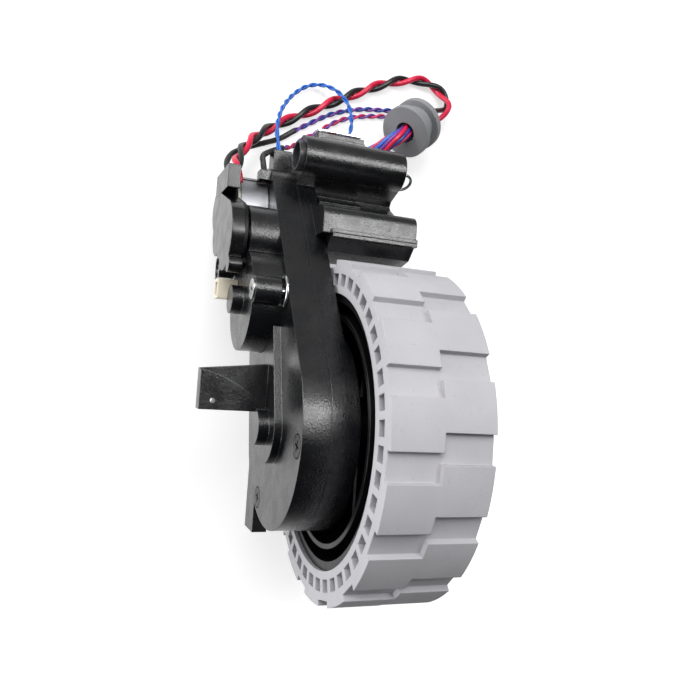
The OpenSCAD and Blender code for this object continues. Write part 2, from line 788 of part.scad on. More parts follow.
module stage_three_gear() color("#e8e6df")
    difference() {
        union() {
            gear(idler3_c, mod3, wheel3_n, idler2_c, false, stage3_y, stage3_y + stage3_w);
            gear(idler3_c, mod4, pinion4_n, axle_c, true, stage3_y + stage3_w - 0.2, stage4_y + stage4_w);
        }
        rod(idler3_c, pin_r + run_play, -10, 10);
    }

module stage_three_pin() color("#b4b6b9") rod(idler3_c, pin_r, bay_in - 0.8, outer_t - 0.3);

module output_gear() color("#d9d7cf")
    difference() {
        union() {
            gear(axle_c, mod4, wheel4_n, idler3_c, false, stage4_y, stage4_y + stage4_w);
            rod(axle_c, axle_r + 2.2, stage3_y + 0.2, stage4_y + 0.2);
        }
        rod(axle_c, axle_r, -10, 10);
    }

module output_shaft() color("#c0c2c4")
    difference() {
        union() {
            rod(axle_c, journal_r, shaft_in + 0.2, bay_in + 0.4);
            rod(axle_c, axle_r, bay_in + 0.3, hub_y + 1);
            translate([axle_x, web_y, axle_z])
                rotate([90, 0, 0])
                    cylinder(r = hex_r, h = web_y - hub_y, $fn = 6);
        }
        rod(axle_c, 1.2, web_y - 7, web_y + 1);
    }

module inner_bush() color("#b5894e") ring(axle_c, bush_r2, journal_r + run_play, shaft_in, bay_in - 0.1);

module bearing_outer_race() color("#cfd0d1") ring(axle_c, race_r, race_r - 1.3, race_y, race_y + race_w);

module bearing_inner_race() color("#cfd0d1") ring(axle_c, axle_r + 1, axle_r, race_y, race_y + race_w);

module bearing_balls() color("#dcdddd")
    for (i = [0 : 9])
        translate([axle_x, race_y + race_w / 2, axle_z])
            rotate([0, i * 36, 0])
                translate([(race_r - 1.3 + axle_r + 1) / 2, 0, 0])
                    sphere(r = (race_r - 2.3 - axle_r) / 2 - 0.03, $fn = 32);

// Wheel body: rim, inner ring, web on the far side and boss on the shaft
module wheel_hub() color("#202124")
    difference() {
        union() {
            ring(axle_c, rim_r, rim_r - hub_wall, rim_y, wheel_out - 0.5);
            ring(axle_c, ring_r, ring_r - 1, rim_y, web_y + 0.5);
            rod(axle_c, rim_r - 0.5, web_y, web_y + web_t);
            rod(axle_c, hub_boss_r, hub_y, web_y + web_t);
            // Ribs between the boss and the inner ring
            for (a = [0 : 60 : 300])
                translate([axle_x, 0, axle_z])
                    rotate([0, a, 0])
                        translate([hub_boss_r - 1, hub_y + 3, -0.7])
                            cube([ring_r - hub_boss_r - 0.5, web_y - hub_y - 2, 1.4]);
        }
        rod(axle_c, axle_r + 0.05, hub_y - 1, hub_y + 1.2);
        translate([axle_x, web_y + 0.01, axle_z])
            rotate([90, 0, 0])
                cylinder(r = hex_r + 0.03, h = web_y - hub_y + 0.02, $fn = 6);
        rod(axle_c, 1.5, web_y - 1, web_y + web_t + 1);
        // Shallow seat for the cap
        ring(axle_c, rim_r - hub_wall, hub_boss_r + 3, web_y + web_t - 0.5, web_y + web_t + 1);
    }

module wheel_washer() color("#b7b9bb") ring(axle_c, 4, 1.6, web_y + web_t, web_y + web_t + 0.5);

module wheel_screw() color("#c6c8ca")
    difference() {
        union() {
            rod(axle_c, 2.8, web_y + web_t + 0.5, web_y + web_t + 2);
            rod(axle_c, 1.2, web_y - 6, web_y + web_t + 1);
        }
        for (a = [0, 90])
            translate([axle_x, web_y + web_t + 1.2, axle_z])
                rotate([0, a, 0])
                    translate([-1.4, 0, -0.25]) cube([2.8, 2, 0.5]);
    }

// Cap over the wheel screw
module wheel_cap() color("#232427")
    difference() {
        rod(axle_c, hub_boss_r, web_y + web_t, wheel_out - 0.3);
        rod(axle_c, hub_boss_r - 1.2, web_y + web_t - 1, wheel_out - 1.3);
    }

// One groove of the tread, cut across a row
module tread_groove(a, y0, y1) {
    half = 180 / tread_count * groove_share;
    low = wheel_d / 2 - tread_h;
    slab(y0, y1)
        translate(axle_c)
            polygon([polar(low, a - half), polar(low + 3, a - half * 0.97), polar(low + 3, a + half * 0.97),
                polar(low, a + half)]);
}

module tyre() color("#c9c8cc")
    difference() {
        rod(axle_c, wheel_d / 2, tyre_y, wheel_out);
        rod(axle_c, rim_r, tyre_y - 1, wheel_out + 1);
        for (i = [0 : tread_count - 1]) {
            tread_groove(groove_start + i * 360 / tread_count, tyre_y - 1, tyre_y + tyre_w / 2);
            tread_groove(groove_start + row_turn + i * 360 / tread_count, tyre_y + tyre_w / 2, wheel_out + 1);
        }
        for (i = [0 : pocket_count - 1]) {
            tyre_pocket(i * 360 / pocket_count, tyre_y - 1, tyre_y + pocket_depth);
            tyre_pocket(i * 360 / pocket_count, wheel_out - pocket_depth, wheel_out + 1);
        }
    }

// One air pocket in the side of the tyre
module tyre_pocket(a, y0, y1) {
    low = rim_r + 1.6;
    half = 180 / pocket_count * 0.66;
    slab(y0, y1)
        translate(axle_c)
            polygon([polar(low, a - half), polar(low + pocket_h, a - half), polar(low + pocket_h, a + half),
                polar(low, a + half)]);
}

module encoder_magnet() color("#2e2f33") ring(idler2_c, 5, 2.4, magnet_y - magnet_t, magnet_y);

// Round board inside the cap
module encoder_board() color("#1f5a3a") ring(idler2_c, cap_r - cover_wall - 0.2, 3, board_y, board_y + board_t);

module encoder_sensor() color("#151618")
    translate([idler2_x - 5.6, board_y + board_t, idler2_z - 1.4]) cube([2.6, 0.45, 2.8]);

module encoder_connector() color("#e9e2cf")
    difference() {
        translate([connector_at[0], cap_y - 4.2, connector_at[1]])
            cube([connector_w, board_y - cap_y + 4.2, connector_h]);
        translate([connector_at[0] + 0.7, cap_y - 5, connector_at[1] + 0.7])
            cube([connector_w - 1.4, 4, connector_h - 1.4]);
    }

module drop_switch() color("#222326")
    difference() {
        translate([switch_x, switch_y, switch_z]) cube([switch_h, switch_l, switch_t]);
        translate([switch_x - 1, plunger_y - 0.75, switch_z + switch_t / 2 - 0.75])
            cube([2.4, 1.5, 1.5]);
        // Way in for the lead
        translate([switch_route[0][0], switch_route[0][1], switch_z - 1])
            cylinder(r = switch_lead_d / 2 + 0.2, h = 2.2, $fn = 24);
    }

module switch_plunger() color("#8f2a24")
    translate([switch_x - lever_gap + 0.02, plunger_y - 0.7, switch_z + switch_t / 2 - 0.7])
        cube([lever_gap + 1, 1.4, 1.4]);

// Leaf with a rolled end that it turns on
module switch_lever() color("#c2c4c6") {
    leaf_x = switch_x - lever_gap - lever_t;
    translate([leaf_x, switch_y + 0.5, switch_z + 0.8])
        cube([lever_t, switch_l - 0.8, switch_t - 1.6]);
    translate([leaf_x + lever_t / 2, switch_y + 0.5, switch_z + 0.8])
        cylinder(r = 0.4, h = switch_t - 1.6);
}

// Wire hook on the end of the pivot tube
module spring_hook() color("#d5d6d8")
    translate([(hook_legs[0][0] + hook_legs[1][0]) / 2, tube_l, (hook_legs[0][1] + hook_legs[1][1]) / 2])
        rotate([0, -heading(hook_legs[0], hook_legs[1]), 0]) {
            hook_r = norm(hook_legs[1] - hook_legs[0]) / 2;
            rotate_extrude(angle = 180) translate([hook_r, 0]) circle(r = hook_wire, $fn = 24);
            for (s = [-1, 1])
                translate([s * hook_r, -2, 0])
                    rotate([-90, 0, 0])
                        cylinder(r = hook_wire, h = 2, $fn = 24);
        }

// Saddle that holds a sleeve on the inner case half
module lead_clip() color("#17181a")
    difference() {
        translate([3.2, -inner_t - 2.5, -7.4]) cube([2.2, 2.5, 2.9]);
        translate([3, -6.7, -6])
            rotate([0, 90, 0])
                cylinder(r = sleeve_d / 2 + 0.1, h = 3, $fn = 32);
    }

module grommet() color("#8b8d90")
    translate(grommet_c)
        rotate([0, 90 + grommet_lean, grommet_turn])
            translate([0, 0, -grommet_t / 2])
                difference() {
                    union() {
                        cylinder(r = grommet_d / 2, h = 1.7);
                        cylinder(r = grommet_d / 2 - 1.6, h = grommet_t);
                        translate([0, 0, grommet_t - 1.7]) cylinder(r = grommet_d / 2, h = 1.7);
                    }
                    translate([0, 0, -1]) cylinder(r = 2.6, h = grommet_t + 2);
                }

module harness_plug() color("#1b1b1d")
    translate(plug_c)
        difference() {
            translate([-3, -5, -2.6]) cube([6, 9.6, 5.2]);
            translate([-2.2, -6, -1.8]) cube([4.4, 5, 3.6]);
        }

// Tube swept along a route: a ring of corners at each point, joined by faces
module wire(route, d, sides = 8) {
    last = len(route) - 1;
    way = [for (i = [0 : last]) unit(route[min(i + 1, last)] - route[max(i - 1, 0)])];
    rings = [for (i = [0 : last])
        let (side = unit(cross(way[i], [0, 0, 1])), up = cross(side, way[i]))
        [for (k = [0 : sides - 1]) route[i] + d / 2 * (cos(k * 360 / sides) * side + sin(k * 360 / sides) * up)]];
    polyhedron(
        points = [for (r = rings) each r],
        faces = concat(
            [[for (k = [0 : sides - 1]) k]],
            [[for (k = [0 : sides - 1]) last * sides + sides - 1 - k]],
            [for (i = [0 : last - 1], k = [0 : sides - 1])
                let (n = (k + 1) % sides)
                [i * sides + k, (i + 1) * sides + k, (i + 1) * sides + n, i * sides + n]]
        )
    );
}

function unit(v) = v / norm(v);

module motor_lead() color("#a01f2e") wire(motor_route, motor_lead_d);
module sensor_lead_a() color("#1c1c1e") wire(lead_a_route, thin_lead_d);
module sensor_lead_b() color("#5a2a6e") wire(lead_b_route, thin_lead_d);
module switch_lead() color("#2458b8") wire(switch_route, switch_lead_d);
module harness() color("#6d2f7c") wire(harness_route, harness_d, 12);

outer_housing();
inner_housing();
motor_bay_cover();
second_stage_cover();
first_stage_plate();
first_stage_cover();
terminal_cover();
pivot_bush();
case_screws();
cover_screws();
motor_can();
motor_end_bell();
motor_magnets();
flux_ring();
motor_shaft();
motor_armature();
motor_commutator();
motor_pinion();
transfer_gear();
transfer_pin();
stage_one_gear();
stage_one_pin();
stage_two_gear();
stage_two_pin();
stage_three_gear();
stage_three_pin();
output_gear();
output_shaft();
inner_bush();
bearing_outer_race();
bearing_inner_race();
bearing_balls();
wheel_hub();
tyre();
wheel_cap();
wheel_screw();
wheel_washer();
encoder_magnet();
encoder_board();
encoder_sensor();
encoder_connector();
drop_switch();
switch_lever();
switch_plunger();
spring_hook();
boss_clip();
lead_clip();
grommet();
harness_plug();
motor_lead();
sensor_lead_a();
sensor_lead_b();
switch_lead();
harness();
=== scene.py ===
"""Drive wheel module of a robot vacuum cleaner, dressed for a studio picture.

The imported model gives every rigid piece, in metres. This script adds the twisted leads and
their sleeves, gives each piece its finish, and sets the floor, the lamps and the camera.
Sizes and places below are in millimetres in the model's own frame: the origin is on the
pivot axis, +X points to the wheel, +Y along the axles to the outboard side and +Z up.
"""

import logging
import math
from dataclasses import dataclass, field
from enum import Enum
from typing import Any, Sequence

import bpy
import numpy as np
from mathutils import Matrix


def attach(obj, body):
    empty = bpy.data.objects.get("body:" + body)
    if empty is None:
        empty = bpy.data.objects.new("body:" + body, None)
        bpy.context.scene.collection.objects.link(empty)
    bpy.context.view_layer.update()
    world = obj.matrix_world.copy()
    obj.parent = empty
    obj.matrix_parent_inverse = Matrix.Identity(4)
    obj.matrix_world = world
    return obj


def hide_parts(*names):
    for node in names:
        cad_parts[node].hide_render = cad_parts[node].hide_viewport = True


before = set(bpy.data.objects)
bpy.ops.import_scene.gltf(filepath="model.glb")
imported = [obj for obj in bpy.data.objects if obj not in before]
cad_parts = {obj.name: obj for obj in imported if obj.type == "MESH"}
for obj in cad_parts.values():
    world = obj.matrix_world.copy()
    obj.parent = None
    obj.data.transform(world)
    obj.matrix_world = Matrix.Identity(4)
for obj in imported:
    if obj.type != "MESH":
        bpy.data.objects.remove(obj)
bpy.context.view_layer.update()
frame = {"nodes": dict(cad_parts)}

LOG = logging.getLogger("wheel_module")
MM = 0.001
UP = np.array([0.0, 0.0, 1.0])
SHORTEST = 1e-9

Colour = tuple[float, float, float]
Point = tuple[float, float, float]
Pair = tuple[float, float]


# Meshes


@dataclass
class Shell:
    """A mesh in the making: its points in millimetres, its faces, and each face's finish."""

    points: np.ndarray
    faces: list[list[int]]
    finish: np.ndarray

    @staticmethod
    def joined(shells: Sequence["Shell"]) -> "Shell":
        """Puts several shells into one, each with its own finish number.

        Args:
            shells: The shells, in the order of their finishes.

        Returns:
            One shell that holds them all.
        """
        starts = np.cumsum([0] + [len(s.points) for s in shells])
        faces = [[i + int(start) for i in f] for s, start in zip(shells, starts) for f in s.faces]
        finish = np.concatenate([s.finish for s in shells])
        return Shell(np.vstack([s.points for s in shells]), faces, finish)

    def piece(self, name: str, materials: Sequence[bpy.types.Material]) -> bpy.types.Object:
        """Makes the Blender object, with its origin at the frame's origin.

        Args:
            name: Name of the piece.
            materials: Its materials, in the order of the finish numbers.

        Returns:
            The object, linked to the scene.
        """
        mesh = bpy.data.meshes.new(name)
        mesh.from_pydata((self.points * MM).tolist(), [], self.faces)
        for material in materials:
            mesh.materials.append(material)
        mesh.polygons.foreach_set("material_index", self.finish.astype(np.int32))
        mesh.polygons.foreach_set("use_smooth", np.ones(len(mesh.polygons), bool))
        mesh.validate()
        mesh.update()
        made = bpy.data.objects.new(name, mesh)
        bpy.context.scene.collection.objects.link(made)
        return made


def unit(v: np.ndarray) -> np.ndarray:
    """Directions of rows of vectors, each of length one."""
    return v / np.maximum(np.linalg.norm(v, axis=-1, keepdims=True), SHORTEST)


def axes_along(line: np.ndarray) -> tuple[np.ndarray, np.ndarray]:
    """Sideways and upward directions at each point of a line.

    The tangent is the central difference. Sideways is the tangent crossed with the vertical,
    and upward is sideways crossed with the tangent.

    Args:
        line: Points of the line, one in each row.

    Returns:
        The sideways and the upward directions.
    """
    tangent = unit(np.gradient(line, axis=0))
    side = unit(np.cross(tangent, UP))
    return side, np.cross(side, tangent)


def tube(line: np.ndarray, radius: np.ndarray | float, sides: int, finish: int = 0) -> Shell:
    """Round bar along a line, closed at both ends.

    The point at angle a of ring i is line[i] + radius * (cos a * sideways + sin a * upward).

    Args:
        line: Points of the centreline.
        radius: One radius, or one for each point.
        sides: Corners of each ring.
        finish: Finish number of its faces.

    Returns:
        The closed shell.
    """
    side, up = axes_along(line)
    angle = np.linspace(0, 2 * np.pi, sides, endpoint=False)[None, :, None]
    reach = np.broadcast_to(np.asarray(radius, float), (len(line),))[:, None, None]
    rings = line[:, None] + reach * (np.cos(angle) * side[:, None] + np.sin(angle) * up[:, None])
    ring, corner = np.meshgrid(np.arange(len(line) - 1), np.arange(sides), indexing="ij")
    after = (corner + 1) % sides
    quads = np.stack([ring * sides + corner, (ring + 1) * sides + corner,
                      (ring + 1) * sides + after, ring * sides + after], axis=-1).reshape(-1, 4)
    last = (len(line) - 1) * sides
    caps = [list(range(sides)), [last + sides - 1 - k for k in range(sides)]]
    faces = quads.tolist() + caps
    return Shell(rings.reshape(-1, 3), faces, np.full(len(faces), finish))


@dataclass
class Route:
    """The way of a lead: listed points, and the smooth curve through them."""

    points: list[Point]
    step: float = 0.3
    per_span: int = 24

    def line(self) -> np.ndarray:
        """Evenly spaced points of the curve.

        Each span is the cubic of Catmull and Rom through its four neighbours, with the ends
        mirrored, and the result is spaced evenly by its arc length.

        Returns:
            The points, in millimetres.
        """
        p = np.array(self.points, float)
        p = np.vstack([2 * p[0] - p[1], p, 2 * p[-1] - p[-2]])
        t = np.linspace(0, 1, self.per_span, endpoint=False)[None, :, None]
        a, b, c, d = (p[k:len(p) - 3 + k][:, None] for k in range(4))
        curve = 0.5 * (2 * b + (c - a) * t + (2 * a - 5 * b + 4 * c - d) * t ** 2
                       + (3 * b - a - 3 * c + d) * t ** 3)
        curve = np.vstack([curve.reshape(-1, 3), p[-2]])
        return evenly(curve, self.step)


def along(line: np.ndarray) -> np.ndarray:
    """Arc length at each point of a line."""
    return np.concatenate([[0.0], np.cumsum(np.linalg.norm(np.diff(line, axis=0), axis=1))])


def evenly(line: np.ndarray, step: float) -> np.ndarray:
    """The line again, with evenly spaced points, by interpolation over its arc length.

    Args:
        line: Points of the line.
        step: About how far apart the new points are.

    Returns:
        The new points.
    """
    run = along(line)
    at = np.linspace(0, run[-1], max(3, int(run[-1] / step)))
    return np.stack([np.interp(at, run, line[:, k]) for k in range(3)], axis=1)


# Finishes


class Board:
    """A material's nodes, with short ways to add and join them.

    SPOTS to SMUDGES are the octaves of a noise, from round spots to ragged smudges. Most of a
    noise's values lie between NOISE_LOW and NOISE_HIGH. An edge counts as one where the cosine
    between the rounded and the face's own normal falls from EDGE_FLAT to EDGE_SHARP. COLOURS
    and COLOUR are the numbers of a mix node's colour inputs and of its colour output.
    """

    SPOTS = 1.0
    GRAIN = 2.0
    CLOUDS = 3.0
    SMUDGES = 4.0
    NOISE_LOW = 0.3
    NOISE_HIGH = 0.7
    EDGE_SHARP = 0.75
    EDGE_FLAT = 0.99
    BEVEL_RAYS = 6
    COLOURS = (6, 7)
    COLOUR = 2

    def __init__(self, name: str) -> None:
        """Starts an empty material with its shader and output.

        Args:
            name: Name of the material.
        """
        self.material = bpy.data.materials.new(name)
        self.material.use_nodes = True
        self.tree = self.material.node_tree
        self.tree.nodes.clear()
        self.shader = self.add("ShaderNodeBsdfPrincipled")
        self.output = self.add("ShaderNodeOutputMaterial")
        self.join(self.shader.outputs[0], self.output.inputs[0])
        self.place = self.add("ShaderNodeTexCoord").outputs["Object"]

    def add(self, kind: str, **settings: Any) -> bpy.types.Node:
        """Adds a node.

        Args:
            kind: Blender's name of the node's type.
            settings: Attributes of the node.

        Returns:
            The node.
        """
        node = self.tree.nodes.new(kind)
        for key, value in settings.items():
            setattr(node, key, value)
        return node

    def join(self, source: bpy.types.NodeSocket, target: bpy.types.NodeSocket) -> None:
        """Links an output to an input."""
        self.tree.links.new(source, target)

    def put(self, node: bpy.types.Node, **inputs: Any) -> None:
        """Sets inputs by name: a socket is linked and anything else is a value.

        Args:
            node: The node whose inputs are set.
            inputs: Names of inputs, with spaces as underscores, and what goes in.
        """
        for key, value in inputs.items():
            target = node.inputs[key.replace("_", " ")]
            if isinstance(value, bpy.types.NodeSocket):
                self.join(value, target)
            else:
                target.default_value = value

    def noise(self, size: float, detail: float = CLOUDS,
              stretch: Point = (1, 1, 1)) -> bpy.types.NodeSocket:
        """Noise whose spots are about a given size.

        Args:
            size: Size of the spots, in millimetres.
            detail: Octaves of the noise.
            stretch: How much the pattern is squeezed along each axis.

        Returns:
            The noise's value, about 0.5 on average.
        """
        mapping = self.add("ShaderNodeMapping")
        self.put(mapping, Vector=self.place, Scale=stretch)
        node = self.add("ShaderNodeTexNoise")
        self.put(node, Vector=mapping.outputs[0], Scale=1 / (size * MM), Detail=detail)
        return node.outputs["Fac"]

    def scaled(self, value: bpy.types.NodeSocket, low: float, high: float,
               start: float = NOISE_LOW, end: float = NOISE_HIGH) -> bpy.types.NodeSocket:
        """Brings a value from one range to another, and keeps it inside.

        Args:
            value: The value.
            low: The result at the start.
            high: The result at the end.
            start: The value that gives low.
            end: The value that gives high.

        Returns:
            The result.
        """
        node = self.add("ShaderNodeMapRange")
        self.put(node, Value=value, From_Min=start, From_Max=end, To_Min=low, To_Max=high)
        return node.outputs[0]

    def mixed(self, share: bpy.types.NodeSocket, one: Any, other: Any) -> bpy.types.NodeSocket:
        """Mix of two colours.

        Args:
            share: How much of the other colour is in it, from 0 to 1.
            one: A colour, or a socket that gives one.
            other: A colour, or a socket that gives one.

        Returns:
            The mixed colour.
        """
        node = self.add("ShaderNodeMix", data_type="RGBA")
        self.join(share, node.inputs[0])
        for value, number in zip((one, other), self.COLOURS):
            if isinstance(value, bpy.types.NodeSocket):
                self.join(value, node.inputs[number])
            else:
                node.inputs[number].default_value = (*value, 1)
        return node.outputs[self.COLOUR]

    def blend(self, share: bpy.types.NodeSocket, one: bpy.types.NodeSocket,
              other: bpy.types.NodeSocket) -> bpy.types.NodeSocket:
        """Mix of two shaders.

        Args:
            share: How much of the other shader is in it, from 0 to 1.
            one: The first shader.
            other: The other shader.

        Returns:
            The mixed shader.
        """
        node = self.add("ShaderNodeMixShader")
        for value, target in zip((share, one, other), node.inputs):
            self.join(value, target)
        return node.outputs[0]

    def rounded(self, radius: float) -> bpy.types.NodeSocket:
        """Normal that rounds sharp edges.

        Args:
            radius: Radius of the rounding, in millimetres.

        Returns:
            The rounded normal.
        """
        node = self.add("ShaderNodeBevel", samples=self.BEVEL_RAYS)
        self.put(node, Radius=radius * MM)
        return node.outputs[0]

    def edges(self, normal: bpy.types.NodeSocket) -> bpy.types.NodeSocket:
        """Share that is high where a rounded normal leaves the face's own.

        Args:
            normal: The rounded normal.

        Returns:
            The share, from 0 to 1.
        """
        dot = self.add("ShaderNodeVectorMath", operation="DOT_PRODUCT")
        self.join(normal, dot.inputs[0])
        self.join(self.add("ShaderNodeNewGeometry").outputs["Normal"], dot.inputs[1])
        return self.scaled(dot.outputs["Value"], 1.0, 0.0, self.EDGE_SHARP, self.EDGE_FLAT)

    def bumped(self, height: bpy.types.NodeSocket, depth: float,
               normal: bpy.types.NodeSocket | None = None) -> bpy.types.NodeSocket:
        """Normal raised by a height pattern.

        Args:
            height: The pattern, from 0 to 1.
            depth: Depth of the relief, in millimetres.
            normal: A normal that the relief is laid on.

        Returns:
            The relief's normal.
        """
        node = self.add("ShaderNodeBump")
        self.put(node, Height=height, Distance=depth * MM, Strength=1.0)
        if normal is not None:
            self.join(normal, node.inputs["Normal"])
        return node.outputs[0]

    def uneven(self, size: float, roughness: float, spread: Pair,
               detail: float = CLOUDS) -> bpy.types.NodeSocket:
        """Roughness that varies in spots.

        Args:
            size: Size of the spots, in millimetres.
            roughness: The roughness that it varies about.
            spread: How far it goes down and up.
            detail: Octaves of the noise.

        Returns:
            The roughness.
        """
        return self.scaled(self.noise(size, detail), roughness - spread[0], roughness + spread[1])


def shades(colour: Colour, *factors: float) -> list[Colour]:
    """Shades of a colour, each its product with a factor, at most white."""
    return [tuple(min(1.0, c * k) for c in colour) for k in factors]


@dataclass(frozen=True)
class Moulding:
    """Moulded plastic or rubber with an eroded grain, rounded edges and slight rubbing on them."""

    name: str
    colour: Colour
    roughness: float
    grain: float = 0.22
    depth: float = 0.006
    edge: float = 0.25
    rub: float = 1.8
    haze: float = 0.004
    mottle: float = 0.25
    cloud: float = 9.0
    smudge: float = 4.0
    spread: Pair = (0.07, 0.07)
    specular: float = 0.5

    def material(self) -> bpy.types.Material:
        """Builds the material: clouds of two shades, worn edges, smudged gloss and a fine grain.

        Returns:
            The material.
        """
        board = Board(self.name)
        normal = board.rounded(self.edge)
        cloud = board.scaled(board.noise(self.cloud), 0.0, 1.0)
        dark, light = shades(self.colour, 1 - self.mottle, 1 + self.mottle)
        worn = tuple(min(1.0, c * self.rub + self.haze) for c in self.colour)
        base = board.mixed(board.edges(normal), board.mixed(cloud, dark, light), worn)
        grain = board.noise(self.grain, board.GRAIN)
        gloss = board.uneven(self.smudge, self.roughness, self.spread, board.SMUDGES)
        board.put(board.shader, Base_Color=base, Roughness=gloss, Specular_IOR_Level=self.specular,
                  Normal=board.bumped(grain, self.depth, normal))
        return board.material


@dataclass(frozen=True)
class Tread:
    """Light gray tyre rubber: matte, finely pitted, with dark specks and scuffed block edges."""

    name: str
    colour: Colour
    roughness: float
    edge: float = 0.3
    cloud: float = 14.0
    cloud_shades: Pair = (0.93, 1.05)
    speck: float = 0.5
    speck_range: Pair = (0.66, 0.78)
    speck_share: float = 0.35
    speck_shade: float = 0.55
    scuff_shade: float = 1.12
    patch: float = 3.0
    spread: Pair = (0.06, 0.06)
    pit: float = 0.35
    depth: float = 0.012
    specular: float = 0.35

    def material(self) -> bpy.types.Material:
        """Builds the material: clouds of two shades, sparse specks, pale edges and fine pits.

        Returns:
            The material.
        """
        board = Board(self.name)
        normal = board.rounded(self.edge)
        cloud = board.scaled(board.noise(self.cloud, board.SMUDGES), 0.0, 1.0)
        dark, light = shades(self.colour, *self.cloud_shades)
        dirt, pale = shades(self.colour, self.speck_shade, self.scuff_shade)
        spots = board.noise(self.speck, board.SPOTS)
        speck = board.scaled(spots, 0.0, self.speck_share, *self.speck_range)
        base = board.mixed(speck, board.mixed(cloud, dark, light), dirt)
        base = board.mixed(board.edges(normal), base, pale)
        board.put(board.shader, Base_Color=base, Specular_IOR_Level=self.specular,
                  Roughness=board.uneven(self.patch, self.roughness, self.spread),
                  Normal=board.bumped(board.noise(self.pit), self.depth, normal))
        return board.material


@dataclass(frozen=True)
class Metal:
    """Plated, ground or rolled metal, with marks that run along one axis."""

    name: str
    colour: Colour
    roughness: float
    run: Point = (1.0, 0.12, 1.0)
    marks: float = 0.5
    depth: float = 0.002
    edge: float = 0.12
    cloud: float = 5.0
    dull_shade: float = 0.86
    spread: Pair = (0.08, 0.1)

    def material(self) -> bpy.types.Material:
        """Builds the material: dull and bright clouds, and marks in its gloss and relief.

        Returns:
            The material.
        """
        board = Board(self.name)
        normal = board.rounded(self.edge)
        marks = board.noise(self.marks, stretch=self.run)
        cloud = board.scaled(board.noise(self.cloud), 0.0, 1.0)
        base = board.mixed(cloud, shades(self.colour, self.dull_shade)[0], self.colour)
        gloss = board.scaled(marks, self.roughness - self.spread[0], self.roughness + self.spread[1])
        board.put(board.shader, Base_Color=base, Metallic=1.0, Roughness=gloss,
                  Normal=board.bumped(marks, self.depth, normal))
        return board.material


@dataclass(frozen=True)
class Insulation:
    """Soft wire insulation or sleeve, with slight waves and an uneven shine."""

    name: str
    colour: Colour
    roughness: float = 0.32
    cloud: float = 3.0
    cloud_shades: Pair = (0.85, 1.12)
    patch: float = 0.8
    spread: Pair = (0.06, 0.08)
    wave: float = 0.9
    depth: float = 0.02

    def material(self) -> bpy.types.Material:
        """Builds the material: clouds of two shades, an uneven gloss and slight waves.

        Returns:
            The material.
        """
        board = Board(self.name)
        cloud = board.scaled(board.noise(self.cloud), 0.0, 1.0)
        board.put(board.shader, Base_Color=board.mixed(cloud, *shades(self.colour, *self.cloud_shades)),
                  Roughness=board.uneven(self.patch, self.roughness, self.spread),
                  Normal=board.bumped(board.noise(self.wave, board.GRAIN), self.depth))
        return board.material


@dataclass(frozen=True)
class Winding:
    """Lacquered copper wire, in rows across the armature.

    The wave texture repeats after a tenth of pi at a scale of 1.
    """

    name: str
    colour: Colour
    row: float = 1.885
    wander: float = 0.6
    # Darkening of the grooves between rows: painted shade, not a darker copper.
    gap_painted_shade: float = 0.4
    roughness: float = 0.35
    metal: float = 0.4
    depth: float = 0.1

    def material(self) -> bpy.types.Material:
        """Builds the material: rows that are low between one another, with painted shade darkening the
        grooves between them.

        Returns:
            The material.
        """
        board = Board(self.name)
        wave = board.add("ShaderNodeTexWave", bands_direction="X")
        board.put(wave, Vector=board.place, Scale=math.pi / 10 / (self.row * MM), Distortion=self.wander)
        rows = wave.outputs["Fac"]
        # The grooves between rows are darkened in the colour: painted shade.
        base = board.mixed(rows, shades(self.colour, self.gap_painted_shade)[0], self.colour)
        board.put(board.shader, Base_Color=base, Roughness=self.roughness, Metallic=self.metal,
                  Normal=board.bumped(rows, self.depth))
        return board.material


